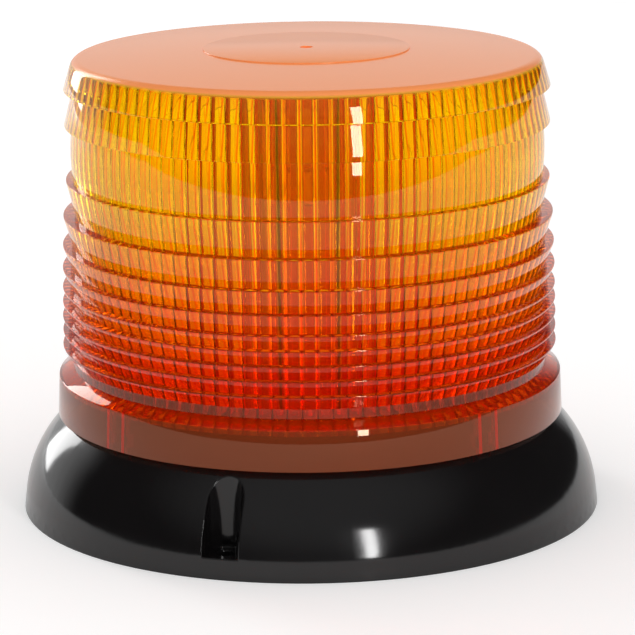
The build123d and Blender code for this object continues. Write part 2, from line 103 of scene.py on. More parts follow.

# Painted shade: deeper red lines along the grooves, standing in for the dark lines that
# refraction through the flutes shows: where they begin and are full, from the middle of a
# flute
# (0) to a groove (0.5), and from what clearness up they show
GROOVE_EDGE = (0.42, 0.46)
GROOVE_PAINTED_SHADE = (1.0, 0.25, 0.12, 1.0)
GROOVED_FROM = (0.9, 0.97)

# The rest of the amber: bending and colour of glints, the share that scatters, the
# light that it lets into its shadow, and what a thickness of it takes away
AMBER_IOR = 1.55
AMBER_GLINT = (1.0, 0.72, 0.5, 1.0)
HAZE_SHARE = 0.03
SHADOW_TINT = (1.0, 0.62, 0.2, 1.0)
DEPTH_TINT = (1.0, 0.93, 0.0, 1.0)
DEPTH_DENSITY = 150.0

# Colours of the pieces inside
TOWER_ALUMINIUM = (0.5, 0.5, 0.52)
SCREW_STEEL = (0.5, 0.5, 0.49)
PIN_BRASS = (0.75, 0.55, 0.2)
CAP_BLACK = (0.015, 0.015, 0.016)
TAPE_GREY = (0.35, 0.38, 0.42)
CAN_BLUE = (0.02, 0.022, 0.04)
EPOXY_BLACK = (0.012, 0.012, 0.012)
LED_ORANGE = (0.5, 0.08, 0.03)

# Lamps: direction (0 is in front, more is to the right), height, distance, size
STRIP_LAMP = (radians(22.5), 0.27, 1.1, (0.09, 0.46))
SIDE_LAMP = (radians(-142.0), 0.45, 1.2, (0.3, 0.85))
LAMP_AIM = (0.0, 0.0, 0.06)

FLOOR_GREYS = ((0.9, 0.9, 0.9), (0.92, 0.92, 0.92))
# The floor's own light for the eye and through the plastic, and its share in gloss
FLOOR_GLOW = 0.2
FLOOR_GLOSS = 0.4

# White wall that gloss shows: how much it faces back and right, where it fades in, and
# between what heights it fades out
WALL_BACK = 0.94
WALL_RIGHT = -0.35
WALL_EDGE = (0.6, 0.85)
WALL_TOP = (sin(radians(26.0)), sin(radians(38.0)))

# Dimmer glow that gloss shows overhead and in front
OVER_BACK = -0.6
OVER_UP = 0.8
OVER_EDGE = (0.45, 1.0)
OVER_LEVELS = (0.02, 0.38)

# The surroundings seen through the plastic, which dim towards the zenith
THROUGH_EDGE = (sin(radians(25.0)), 1.0)
THROUGH_LEVELS = (1.0, 0.6)


class LensSizes(bpy.types.PropertyGroup):
    """Outline of the lens; insets are measured inwards from the foot of the skirt"""

    skirt_height: FloatProperty(
        name="Skirt height", description="Plain collar at the foot of the lens",
        default=0.0103, unit="LENGTH")
    skirt_draft: FloatProperty(
        name="Skirt draft", description="How far the skirt leans in over its height",
        default=0.0005, unit="LENGTH")
    skirt_wall: FloatProperty(
        name="Skirt wall", description="Thickness of the skirt",
        default=0.0024, unit="LENGTH")
    flange_rise: FloatProperty(
        name="Flange rise", description="Height of the slope above the skirt",
        default=0.002, unit="LENGTH")
    flute_band_height: FloatProperty(
        name="Plain band height", description="Upright band between flange and rings",
        default=0.0025, unit="LENGTH")
    flute_band_inset: FloatProperty(
        name="Plain band inset", description="Inset of the band from the top of the skirt",
        default=0.0037, unit="LENGTH")
    ring_heights: FloatVectorProperty(
        name="Ring heights", description="Prism rings from the lowest up", size=9,
        default=(0.0035, 0.0038, 0.0037, 0.0038, 0.0038, 0.0051, 0.0059, 0.0076, 0.0092),
        unit="LENGTH")
    ring_insets: FloatVectorProperty(
        name="Ring insets", description="Inset of each ring's rim", size=9,
        default=(0.0017, 0.0018, 0.0018, 0.0019, 0.0020, 0.0021, 0.0023, 0.0026, 0.0035),
        unit="LENGTH")
    ring_depth: FloatProperty(
        name="Ring depth", description="From the rim of a ring in to its root",
        default=0.0022, unit="LENGTH")
    rim_land: FloatProperty(
        name="Rim land", description="Upright edge of each ring's rim",
        default=0.0004, unit="LENGTH")
    rim_round: FloatProperty(
        name="Rim rounding", description="Moulded rounding on the rims",
        default=0.00018, unit="LENGTH")
    belt_height: FloatProperty(
        name="Belt height", description="Height of the focal belt",
        default=0.0141, unit="LENGTH")
    belt_inset: FloatProperty(
        name="Belt inset", description="Inset of the belt's edges",
        default=0.0053, unit="LENGTH")
    belt_bulge: FloatProperty(
        name="Belt bulge", description="How far the belt stands out in its middle",
        default=0.0005, unit="LENGTH")
    flare_heights: FloatVectorProperty(
        name="Flare heights", description="The two flared rings above the belt", size=2,
        default=(0.0092, 0.0077), unit="LENGTH")
    flare_rim_inset: FloatProperty(
        name="Flare rim inset", description="Inset of a flare at its foot",
        default=0.00335, unit="LENGTH")
    flare_top_inset: FloatProperty(
        name="Flare top inset", description="Inset of a flare at its top",
        default=0.0057, unit="LENGTH")
    crown_fall: FloatProperty(
        name="Crown fall", description="From the top of the disc down to the crown's edge",
        default=0.0018, unit="LENGTH")
    crown_round: FloatProperty(
        name="Crown rounding", description="Radius of the crown's edge",
        default=0.002, unit="LENGTH")
    crown_thickness: FloatProperty(
        name="Crown thickness", description="Solid plastic above the cavity",
        default=0.0045, unit="LENGTH")
    disc_radius: FloatProperty(
        name="Disc radius", description="Flat disc in the middle of the crown",
        default=0.0264, unit="LENGTH")
    disc_step: FloatProperty(
        name="Disc step", description="Height of the step at the disc's edge",
        default=0.0003, unit="LENGTH")
    gate_radius: FloatProperty(
        name="Gate radius", description="Moulding gate in the middle of the disc",
        default=0.0017, unit="LENGTH")
    gate_depth: FloatProperty(
        name="Gate depth", description="Depth of the gate's dimple",
        default=0.0005, unit="LENGTH")
    flute_count: IntProperty(
        name="Flutes", description="Upright flutes on the inside", default=102)
    flute_steps: IntProperty(
        name="Steps in a flute", description="Facets across one flute", default=8)
    flute_inset: FloatProperty(
        name="Flute inset", description="Inset of the grooves between the flutes",
        default=0.0088, unit="LENGTH")
    flute_depth: FloatProperty(
        name="Flute depth", description="How far a flute stands in from its grooves",
        default=0.00045, unit="LENGTH")
    flute_flatness: FloatProperty(
        name="Flute flatness", description="Higher values give flatter flutes", default=4.0)
    sharp_angle: FloatProperty(
        name="Sharp angle", description="Edges that turn more than this look sharp",
        default=radians(28.0), subtype="ANGLE")
    seal_room: FloatProperty(
        name="Room over the seal", description="Between the seal and the lens's ceiling",
        default=0.0003, unit="LENGTH")
    lug_count: IntProperty(name="Lugs", description="Bayonet lugs", default=4)
    lug_direction: FloatProperty(
        name="Lug direction", description="Direction of the first lug",
        default=radians(312.2), subtype="ANGLE")
    lug_span: FloatProperty(
        name="Lug span", description="Width of a lug", default=radians(5.9), subtype="ANGLE")
    lug_rise: FloatProperty(
        name="Lug rise", description="From the foot of the lens up to a lug",
        default=0.0013, unit="LENGTH")
    lug_height: FloatProperty(
        name="Lug height", description="Height of a lug", default=0.0031, unit="LENGTH")
    lug_reach: FloatProperty(
        name="Lug reach", description="How far a lug stands in", default=0.0023,
        unit="LENGTH")
    lug_rib_span: FloatProperty(
        name="Lug rib span", description="Width of the ribs above a lug",
        default=radians(0.9), subtype="ANGLE")
    lug_rib_reach: FloatProperty(
        name="Lug rib reach", description="How far those ribs stand in",
        default=0.0009, unit="LENGTH")


class HousingSizes(bpy.types.PropertyGroup):
    """Foot band and moulded edges of the housing"""

    band_height: FloatProperty(
        name="Band height", description="Upright band at the foot", default=0.0052,
        unit="LENGTH")
    merge_distance: FloatProperty(
        name="Merge distance", description="Corners nearer than this are one",
        default=0.000002, unit="LENGTH")
    sharp_angle: FloatProperty(
        name="Sharp angle", description="Edges that turn more than this look sharp",
        default=radians(14.0), subtype="ANGLE")
    edge_round: FloatProperty(
        name="Edge rounding", description="Rounding that catches the light on the edges",
        default=0.0006, unit="LENGTH")


class FinishColours(bpy.types.PropertyGroup):
    """Colours of the finishes"""

    # The skirt's dark brown is painted shade from the black housing close behind it, on the
    # same amber as the rest of the lens
    amber_skirt_painted_shade: FloatVectorProperty(
        name="Amber, skirt", description="Tint of the lens's skirt", subtype="COLOR",
        size=3, default=(0.27, 0.06, 0.02))
    # Painted glow: the light that the thick ribs carry down from the lens above, painted into
    # their colour
    rib_painted_glow: FloatVectorProperty(
        name="Amber, ribs", description="Colour of the light that the lug ribs catch",
        subtype="COLOR", size=3, default=(0.85, 0.03, 0.01))
    amber_crown: FloatVectorProperty(
        name="Amber, crown", description="Colour of the lens's cloudy crown",
        subtype="COLOR", size=3, default=(1.0, 0.33, 0.1))
    amber_haze: FloatVectorProperty(
        name="Amber, haze", description="Colour that the plastic scatters",
        subtype="COLOR", size=3, default=(0.85, 0.1, 0.005))
    # Foot, middle and top are one amber with painted light and shade: deeper red towards the
    # foot is painted shade, yellower at the belt is painted light
    amber_foot_painted_shade: FloatVectorProperty(
        name="Amber, foot", description="Tint of the lens near its foot", subtype="COLOR",
        size=3, default=(0.92, 0.1, 0.01))
    amber_middle_painted_light_and_shade: FloatVectorProperty(
        name="Amber, middle", description="Tint of the lens among its rings",
        subtype="COLOR", size=3, default=(1.0, 0.47, 0.01))
    amber_top_painted_light: FloatVectorProperty(
        name="Amber, top", description="Tint of the lens at its belt and crown",
        subtype="COLOR", size=3, default=(1.0, 0.88, 0.02))
    housing: FloatVectorProperty(
        name="Housing", description="Gloss black plastic", subtype="COLOR", size=3,
        default=(0.0052, 0.0046, 0.0048))
    plate: FloatVectorProperty(
        name="Plate", description="Plain black plastic", subtype="COLOR", size=3,
        default=(0.012, 0.012, 0.013))
    rubber: FloatVectorProperty(
        name="Rubber", description="Seal and grommet", subtype="COLOR", size=3,
        default=(0.02, 0.02, 0.021))
    foam: FloatVectorProperty(
        name="Foam", description="Foam rubber gasket", subtype="COLOR", size=3,
        default=(0.035, 0.035, 0.037))
    board_green: FloatVectorProperty(
        name="Driver board", description="Solder mask of the driver board",
        subtype="COLOR", size=3, default=(0.01, 0.12, 0.04))
    board_red: FloatVectorProperty(
        name="LED boards", description="Solder mask of the LED boards",
        subtype="COLOR", size=3, default=(0.42, 0.008, 0.008))
    terminal_green: FloatVectorProperty(
        name="Terminal", description="Plastic of the supply terminal", subtype="COLOR",
        size=3, default=(0.02, 0.3, 0.09))


class StageSizes(bpy.types.PropertyGroup):
    """Camera, floor and lamps"""

    camera_distance: FloatProperty(
        name="Camera distance", description="From the camera to the point it aims at",
        default=0.843, unit="LENGTH")
    camera_pitch: FloatProperty(
        name="Camera pitch", description="How far the camera looks down",
        default=radians(12.9), subtype="ANGLE")
    camera_roll: FloatProperty(
        name="Camera roll", description="Turn of the camera about its own line of sight",
        default=radians(-0.63), subtype="ANGLE")
    aim_height: FloatProperty(
        name="Aim height", description="Height of the point the camera aims at",
        default=0.055, unit="LENGTH")
    focal_length: FloatProperty(
        name="Focal length", description="In millimetres", default=184.2)
    shift: FloatVectorProperty(
        name="Shift", description="Shift of the picture across and up", size=2,
        default=(0.0134, -0.041))
    floor_size: FloatProperty(
        name="Floor size", description="Side of the square floor", default=6.0,
        unit="LENGTH")
    strip_power: FloatProperty(
        name="Strip lamp", description="Power of the narrow lamp in front on the right",
        default=3.2, unit="POWER")
    side_power: FloatProperty(
        name="Side lamp", description="Power of the broad lamp behind on the left",
        default=4.0, unit="POWER")
    sky_strength: FloatProperty(
        name="Surroundings", description="Light of the surroundings on the object",
        default=1.0)
    floor_front: FloatProperty(
        name="Floor's front edge", description="From the object to the front of the floor",
        default=0.37, unit="LENGTH")


class Wiring:
    """Puts a node tree together one step at a time."""

    def __init__(self, tree):
        self.tree = tree
        self.tree.nodes.clear()

    def add(self, kind, **settings):
        """A new node, with its own settings."""
        node = self.tree.nodes.new(kind)
        for name, value in settings.items():
            setattr(node, name, value)
        return node

    def feed(self, value, socket):
        """Gives a socket a number, a colour or what another socket gives."""
        if isinstance(value, bpy.types.NodeSocket):
            self.tree.links.new(value, socket)
        else:
            socket.default_value = value

    def axes(self, place):
        """The three parts of a place or direction."""
        split = self.add("ShaderNodeSeparateXYZ")
        self.feed(place, split.inputs["Vector"])
        return [split.outputs[axis] for axis in "XYZ"]

    def reckon(self, operation, first, second=0.0):
        """What arithmetic makes of two values."""
        node = self.add("ShaderNodeMath", operation=operation)
        self.feed(first, node.inputs[0])
        self.feed(second, node.inputs[1])
        return node.outputs["Value"]

    def spread(self, value, source, target, smooth=False):
        """Maps a value from one pair of limits to another."""
        change = self.add("ShaderNodeMapRange")
        if smooth:
            change.interpolation_type = "SMOOTHSTEP"
        for socket, part in zip(change.inputs, (value, *source, *target)):
            self.feed(part, socket)
        return change.outputs["Result"]

    def mix(self, share, first, second, sockets, **settings):
        """Two numbers or two colours mixed by a share."""
        node = self.add("ShaderNodeMix", **settings)
        into_first, into_second, result = sockets
        self.feed(share, node.inputs["Factor"])
        self.feed(first, node.inputs[into_first])
        self.feed(second, node.inputs[into_second])
        return node.outputs[result]

    def mix_shaders(self, share, first, second):
        """Two shaders mixed by a share."""
        node = self.add("ShaderNodeMixShader")
        for socket, part in zip(node.inputs, (share, first, second)):
            self.feed(part, socket)
        return node.outputs["Shader"]

    def from_nearest(self, angle, count, first):
        """How far an angle is from the nearest of some even directions, in steps."""
        shift = first * count / (2 * pi) % 1.0 - 0.5
        steps = self.reckon("MULTIPLY", angle, count / (2 * pi))
        share = self.reckon("FRACT", self.reckon("SUBTRACT", steps, shift))
        return self.reckon("ABSOLUTE", self.reckon("SUBTRACT", share, 0.5))


class Finish(Wiring):
    """A procedural material on the piece's own coordinates."""

    def __init__(self, name):
        self.material = bpy.data.materials.new(name)
        self.material.use_nodes = True
        super().__init__(self.material.node_tree)
        self.output = self.add("ShaderNodeOutputMaterial")
        self.shader = self.add("ShaderNodeBsdfPrincipled")
        self.feed(self.shader.outputs["BSDF"], self.output.inputs["Surface"])
        self.place = self.add("ShaderNodeTexCoord").outputs["Object"]

    def set(self, **values):
        """Feeds sockets of the shader by name, with spaces written as underscores."""
        for name, value in values.items():
            self.feed(value, self.shader.inputs[name.replace("_", " ")])

    def noise(self, scale, stretch=EVEN):
        """Noise on the piece's own coordinates."""
        mapping = self.add("ShaderNodeMapping")
        self.feed(stretch, mapping.inputs["Scale"])
        self.feed(self.place, mapping.inputs["Vector"])
        noise = self.add("ShaderNodeTexNoise")
        self.feed(scale, noise.inputs["Scale"])
        self.feed(NOISE_DETAIL, noise.inputs["Detail"])
        self.feed(mapping.outputs["Vector"], noise.inputs["Vector"])
        return noise.outputs["Fac"]

    def tint(self, share, first, second):
        """A base colour between two colours."""
        self.set(Base_Color=self.mix(share, (*first, 1.0), (*second, 1.0), MIX_COLOURS,
                                     data_type="RGBA"))

    def roughen(self, low, high, scale, stretch=EVEN):
        """Roughness that varies over the surface."""
        self.set(Roughness=self.spread(self.noise(scale, stretch), (0.0, 1.0), (low, high)))

    def emboss(self, value, distance):
        """Fine relief, added to what the surface already has."""
        bump = self.add("ShaderNodeBump")
        self.feed(distance, bump.inputs["Distance"])
        self.feed(1.0, bump.inputs["Strength"])
        self.feed(value, bump.inputs["Height"])
        normal = self.shader.inputs["Normal"]
        if normal.is_linked:
            self.feed(normal.links[0].from_socket, bump.inputs["Normal"])
        self.feed(bump.outputs["Normal"], normal)

    def round_edges(self, size):
        """Lets edges catch the light as if they were rounded, under the relief."""
        rounding = self.add("ShaderNodeBevel", samples=EDGE_SAMPLES)
        self.feed(size, rounding.inputs["Radius"])
        relief = self.shader.inputs["Normal"].links[0].from_node
        self.feed(rounding.outputs["Normal"], relief.inputs["Normal"])


def shade(colour, amount):
    """A colour made lighter or darker."""
    return tuple(min(1.0, part * amount) for part in colour)


def moulded(name, colour, low, high, grain=900.0, relief=0.00002):
    """Moulded plastic or rubber with a fine grain, and roughness between two limits."""
    finish = Finish(name)
    finish.tint(finish.noise(MOTTLE_SCALE), shade(colour, 0.8), shade(colour, 1.25))
    finish.roughen(low, high, SHEEN_SCALE)
    finish.emboss(finish.noise(grain), relief)
    return finish


def metal(name, colour, low, high, stretch=EVEN):
    """Bare metal with fine machining marks, and roughness between two limits."""
    finish = Finish(name)
    grain = finish.noise(MACHINING_SCALE, stretch)
    finish.tint(grain, shade(colour, 0.85), shade(colour, 1.1))
    finish.set(Metallic=1.0)
    finish.roughen(low, high, POLISH_SCALE, stretch)
    finish.emboss(grain, MACHINING_RELIEF)
    return finish


def circuit(name, colour):
    """Solder mask with copper tracks that show through it."""
    finish = Finish(name)
    tracks = finish.add("ShaderNodeTexBrick")
    for socket, value in (("Scale", 90.0), ("Mortar Size", 0.035), ("Mortar Smooth", 0.2),
                          ("Vector", finish.place)):
        finish.feed(value, tracks.inputs[socket])
    finish.tint(tracks.outputs["Fac"], colour, shade(colour, 1.9))
    finish.roughen(0.25, 0.4, 200.0)
    finish.emboss(tracks.outputs["Fac"], 0.00004)
    return finish


def amber_finish(lens, colours):
    """Clear amber plastic: tint and clearness change with height, from skirt to crown; the
    tint holds painted light and shade, with painted shade lines along the grooves and a
    painted glow on the lug ribs.
    """
    finish = Finish("amber_lens")
    across, along, height = finish.axes(finish.place)
    angle = finish.reckon("ARCTAN2", along, across)
    tint, clearness = amber_painted_light_bands(finish, lens, colours, height)
    # Painted shade: deeper red lines multiplied into the tint along the grooves
    with_painted_groove_shade = finish.mix(finish.spread(clearness, GROOVED_FROM, (0.0, 1.0)), tint,
                         groove_painted_shade_lines(finish, lens, angle), MIX_COLOURS,
                         data_type="RGBA", blend_type="MULTIPLY")
    # Painted glow on the lug ribs, mixed over the tint
    with_painted_rib_glow = finish.mix(rib_painted_glow_mask(finish, lens, angle, height), with_painted_groove_shade,
                        (*colours.rib_painted_glow, 1.0), MIX_COLOURS, data_type="RGBA")
    gloss = finish.spread(clearness, (CROWN_CLEAR, POLISHED_FROM),
                          (CROWN_ROUGHNESS, CLEAR_ROUGHNESS))
    finish.set(Base_Color=with_painted_rib_glow, Transmission_Weight=clearness, Roughness=gloss,
               IOR=AMBER_IOR, Specular_Tint=AMBER_GLINT)
    haze = finish.add("ShaderNodeBsdfDiffuse")
    finish.feed((*colours.amber_haze, 1.0), haze.inputs["Color"])
    hazy = finish.mix_shaders(HAZE_SHARE, finish.shader.outputs["BSDF"],
                              haze.outputs["BSDF"])
    passing = finish.add("ShaderNodeBsdfTransparent")
    finish.feed(SHADOW_TINT, passing.inputs["Color"])
    path = finish.add("ShaderNodeLightPath")
    surface = finish.mix_shaders(path.outputs["Is Shadow Ray"], hazy, passing.outputs["BSDF"])
    finish.feed(surface, finish.output.inputs["Surface"])
    depth = finish.add("ShaderNodeVolumeAbsorption")
    finish.feed(DEPTH_TINT, depth.inputs["Color"])
    finish.feed(DEPTH_DENSITY, depth.inputs["Density"])
    finish.feed(depth.outputs["Volume"], finish.output.inputs["Volume"])
    return finish.material


def amber_painted_light_bands(finish, lens, colours, height):
    """Tint and clearness of the amber by height; the tint is painted light and shade: dark
    brown skirt and deeper red foot as shade, yellow belt as light.
    """
    skirt_top = lens_low.z + lens.skirt_height
    rings_foot = skirt_top + lens.flange_rise + lens.flute_band_height
    belt_foot = rings_foot + sum(lens.ring_heights)
    crown_edge = lens_high.z - lens.crown_fall
    # Painted light and shade by height: brown skirt and red foot stand in for shade near the
    # black base, the yellow belt for light from above
    bands = ((skirt_top - SKIRT_CHANGE, colours.amber_skirt_painted_shade, SKIRT_CLEAR),
             (skirt_top, colours.amber_foot_painted_shade, SLOPE_CLEAR),
             (rings_foot + RED_RINGS, colours.amber_foot_painted_shade, RINGS_CLEAR),
             (belt_foot - ORANGE_RINGS, colours.amber_middle_painted_light_and_shade, RINGS_CLEAR),
             (belt_foot, colours.amber_top_painted_light, RINGS_CLEAR),
             (crown_edge - 2 * CROWN_CHANGE, colours.amber_top_painted_light, RINGS_CLEAR),
             (crown_edge - CROWN_CHANGE, colours.amber_crown, CROWN_CLEAR))
    places = [(level - lens_low.z) / (lens_high.z - lens_low.z) for level, *_ in bands]
    ramp = finish.add("ShaderNodeValToRGB")
    finish.feed(finish.spread(height, (lens_low.z, lens_high.z), (0.0, 1.0)),
                ramp.inputs["Fac"])
    stops = ramp.color_ramp.elements
    stops[1].position = places[0]
    stops.remove(stops[0])
    for place in places[1:]:
        stops.new(place)
    for stop, (level, tint, clearness) in zip(stops, bands):
        stop.color = (*tint, clearness)
    return ramp.outputs["Color"], ramp.outputs["Alpha"]


def groove_painted_shade_lines(finish, lens, angle):
    """White, with deeper red lines of painted shade along the grooves between the flutes."""
    lines = finish.add("ShaderNodeValToRGB")
    aside = finish.from_nearest(angle, lens.flute_count, pi / lens.flute_count)
    finish.feed(aside, lines.inputs["Fac"])
    for stop, place, tint in zip(lines.color_ramp.elements, GROOVE_EDGE,
                                 (WHITE, GROOVE_PAINTED_SHADE)):
        stop.position, stop.color = place, tint
    return lines.outputs["Color"]


def rib_painted_glow_mask(finish, lens, angle, height):
    """Where the ribs over the lugs show through the skirt, which get a painted glow."""
    share = lens.lug_count / (2 * pi)
    outer = lens.lug_span / 2 * share
    inner = outer - lens.lug_rib_span * share
    aside = finish.from_nearest(angle, lens.lug_count, lens.lug_direction)
    ribs = finish.reckon("MULTIPLY", finish.reckon("GREATER_THAN", aside, inner),
                         finish.reckon("LESS_THAN", aside, outer))
    slope_top = lens_low.z + lens.skirt_height + lens.flange_rise
    return finish.reckon("MULTIPLY", ribs, finish.reckon("LESS_THAN", height, slope_top))


def repaint(finish, *nodes):
    """Gives carried-over CAD nodes their finish."""
    for node in nodes:
        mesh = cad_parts[node].data
        mesh.materials.clear()
        mesh.materials.append(finish.material)


def link_piece(name, shape, material, body, node, sharp_angle):
    """Makes a finished piece that stands for a CAD node and rides on its body."""
    mesh = bpy.data.meshes.new(name)
    shape.to_mesh(mesh)
    shape.free()
    mesh.polygons.foreach_set("use_smooth", [True] * len(mesh.polygons))
    mesh.set_sharp_from_angle(angle=sharp_angle)
    mesh.materials.append(material)
    piece = bpy.data.objects.new(name, mesh)
    bpy.context.scene.collection.objects.link(piece)
    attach(piece, body)
    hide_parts(node)


def wire(shape, points):
    """A chain of edges through points given as radius and height."""
    corners = [shape.verts.new((radius, 0.0, height)) for radius, height in points]
    for first, second in zip(corners, corners[1:]):
        shape.edges.new((first, second))
    return corners


def nearest_corner(shape, point):
    """The corner of a chain of edges nearest a radius and height."""
    target = Vector((point[0], 0.0, point[1]))
    return min(shape.verts, key=lambda corner: (corner.co - target).length)


def soften(shape, corners, size, steps):
    """Rounds corners of a chain of edges."""
    bmesh.ops.bevel(shape, geom=corners, offset=size, offset_type="OFFSET",
                    segments=steps, profile=0.5, affect="VERTICES", material=-1)


def turn(shape, steps):
    """Turns everything in the shape once round the upright axis."""
    bmesh.ops.spin(shape, geom=shape.verts[:] + shape.edges[:], cent=(0, 0, 0),
                   axis=(0, 0, 1), dvec=(0, 0, 0), angle=2 * pi, steps=steps,
                   use_merge=True, use_duplicate=False)
    bmesh.ops.remove_doubles(shape, verts=shape.verts[:], dist=MERGED)
    bmesh.ops.recalc_face_normals(shape, faces=shape.faces[:])


class BEACON_OT_lens(bpy.types.Operator):
    """Turn the fluted amber lens with its prism rings and bayonet lugs"""

    bl_idname = "beacon.lens"
    bl_label = "Lens"

    def execute(self, context):
        lens = context.scene.beacon_lens
        shape = bmesh.new()
        outline, rims, crown_edge = self.outside(lens)
        corners = wire(shape, outline)
        core = wire(shape, self.inside(lens))
        shape.edges.new((core[-1], corners[0]))
        soften(shape, [corners[index] for index in rims], lens.rim_round, RIM_STEPS)
        disc_edge = crown_edge + 2
        for index, size, steps in ((crown_edge, lens.crown_round, CROWN_STEPS),
                                   (disc_edge, lens.disc_step / 2, RIM_STEPS)):
            soften(shape, [nearest_corner(shape, outline[index])], size, steps)
        turn(shape, lens.flute_count * lens.flute_steps)
        self.raise_flutes(shape, lens)
        self.raise_lugs(shape, lens)
        link_piece("lens_dome", shape, amber_finish(lens, context.scene.beacon_colours),
                   "lens", "lens", lens.sharp_angle)
        return {"FINISHED"}

    def outside(self, lens):
        """The outline from the foot up, its rounded rims and the crown's edge."""
        skirt, top = lens_high.x, lens_high.z
        skirt_top = lens_low.z + lens.skirt_height
        slope_top = skirt_top + lens.flange_rise
        level = slope_top + lens.flute_band_height
        band = skirt - lens.skirt_draft - lens.flute_band_inset
        outline = [(skirt, lens_low.z), (skirt - lens.skirt_draft, skirt_top),
                   (band, slope_top), (band, level)]
        rims = [0, 1]
        for height, inset in zip(lens.ring_heights, lens.ring_insets):
            rim = skirt - inset
            outline.append((rim - lens.ring_depth, level))
            level += height
            rims += [len(outline), len(outline) + 1]
            outline += [(rim, level - lens.rim_land), (rim, level)]
        for step in range(BELT_STEPS + 1):
            share = step / BELT_STEPS
            bulge = lens.belt_bulge * (1 - (2 * share - 1) ** 2)
            outline.append((skirt - lens.belt_inset + bulge,
                            level + lens.belt_height * share))
        level += lens.belt_height
        for height in lens.flare_heights:
            rims.append(len(outline))
            outline.append((skirt - lens.flare_rim_inset, level))
            level += height
            outline.append((skirt - lens.flare_top_inset, level))
        crown_edge = len(outline) - 1
        outline += [(lens.disc_radius, top - lens.disc_step), (lens.disc_radius, top),
                    (lens.gate_radius, top), (lens.gate_radius, top - lens.gate_depth),
                    (0.0, top - lens.gate_depth)]
        return outline, rims, crown_edge

    def inside(self, lens):
        """The outline of the cavity, from the middle of its top to the foot."""
        groove, ceiling, cavity_top = self.cavity(lens)
        inner, lug_foot, lug_top = self.skirt_inside(lens)
        return [(0.0, cavity_top), (groove / 2, cavity_top), (groove, cavity_top),
                (groove, ceiling), (inner, ceiling), (inner, lug_top),
                (inner, lug_foot), (inner, lens_low.z)]

    def cavity(self, lens):
        """Radius of the grooves between the flutes, and where they end below and above."""
        return (lens_high.x - lens.flute_inset, seal_top + lens.seal_room,
                lens_high.z - lens.crown_thickness)

    def skirt_inside(self, lens):
        """Radius of the skirt's inside, and the foot and top of its lugs."""
        lug_foot = lens_low.z + lens.lug_rise
        return lens_high.x - lens.skirt_wall, lug_foot, lug_foot + lens.lug_height

    def raise_flutes(self, shape, lens):
        """Moves the inner wall in between the grooves, so that it is fluted."""
        groove, ceiling, cavity_top = self.cavity(lens)
        step = 2 * pi / lens.flute_count
        for corner in shape.verts:
            radius = corner.co.xy.length
            if abs(radius - groove) > NEAR:
                continue
            if corner.co.z < ceiling - NEAR or corner.co.z > cavity_top + NEAR:
                continue
            share = (atan2(corner.co.y, corner.co.x) / step) % 1.0
            rise = lens.flute_depth * (1 - abs(2 * share - 1) ** lens.flute_flatness)
            corner.co.xy *= (radius - rise) / radius

    def raise_lugs(self, shape, lens):
        """Pushes the lugs and the ribs above them out of the inside of the skirt."""
        ceiling = self.cavity(lens)[1]
        inner, lug_foot, lug_top = self.skirt_inside(lens)
        half = lens.lug_span / 2
        quarter = 2 * pi / lens.lug_count
        facet = pi / (lens.flute_count * lens.flute_steps)
        lug_faces = []
        rib_faces = []
        for face in shape.faces:
            middle = face.calc_center_median()
            if abs(middle.xy.length - inner * cos(facet)) > NEAR:
                continue
            turned = (atan2(middle.y, middle.x) - lens.lug_direction) % quarter
            turned = min(turned, quarter - turned)
            if turned > half:
                continue
            if lug_foot < middle.z < lug_top:
                lug_faces.append(face)
            elif lug_top < middle.z < ceiling and turned > half - lens.lug_rib_span:
                rib_faces.append(face)
        for faces, reach in ((lug_faces, lens.lug_reach), (rib_faces, lens.lug_rib_reach)):
            pushed = bmesh.ops.extrude_face_region(shape, geom=faces)["geom"]
            bmesh.ops.delete(shape, geom=faces, context="FACES")
            for corner in [part for part in pushed if isinstance(part, bmesh.types.BMVert)]:
                corner.co.xy *= (inner - reach) / inner
        bmesh.ops.recalc_face_normals(shape, faces=shape.faces[:])


class BEACON_OT_housing(bpy.types.Operator):
    """Finish the gloss black base housing with rounded moulded edges"""

    bl_idname = "beacon.housing"
    bl_label = "Base housing"

    def execute(self, context):
        housing = context.scene.beacon_housing
        shape = bmesh.new()
        shape.from_mesh(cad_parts["base_housing"].data)
        bmesh.ops.remove_doubles(shape, verts=shape.verts[:], dist=housing.merge_distance)
        for level in (housing.band_height - housing.edge_round,
                      housing.band_height + housing.edge_round):
            bmesh.ops.bisect_plane(shape, dist=ON_CUT, plane_co=(0, 0, level),
                                   plane_no=(0, 0, 1),
                                   geom=shape.verts[:] + shape.edges[:] + shape.faces[:])
        finish = moulded("black_housing", context.scene.beacon_colours.housing, 0.08, 0.14,
                         grain=240.0, relief=0.000008)
        finish.set(IOR=1.5)
        finish.round_edges(housing.edge_round)
        link_piece("housing_shell", shape, finish.material, "base",
                   "base_housing", housing.sharp_angle)
        return {"FINISHED"}


class BEACON_OT_underside(bpy.types.Operator):
    """Finish the bottom plate, the gasket, the grommet and the seal"""

    bl_idname = "beacon.underside"
    bl_label = "Underside and seals"

    def execute(self, context):
        colours = context.scene.beacon_colours
        foam = moulded("foam_rubber", colours.foam, 0.85, 0.95, 500.0)
        cells = foam.add("ShaderNodeTexVoronoi")
        foam.feed(1200.0, cells.inputs["Scale"])
        foam.feed(foam.place, cells.inputs["Vector"])
        foam.emboss(cells.outputs["Distance"], 0.0003)
        repaint(foam, "mounting_gasket")
        repaint(moulded("black_plate", colours.plate, 0.45, 0.6, 1400.0), "bottom_plate")
        repaint(moulded("seal_rubber", colours.rubber, 0.55, 0.75, 700.0),
                "lens_seal", "cable_grommet")
        return {"FINISHED"}


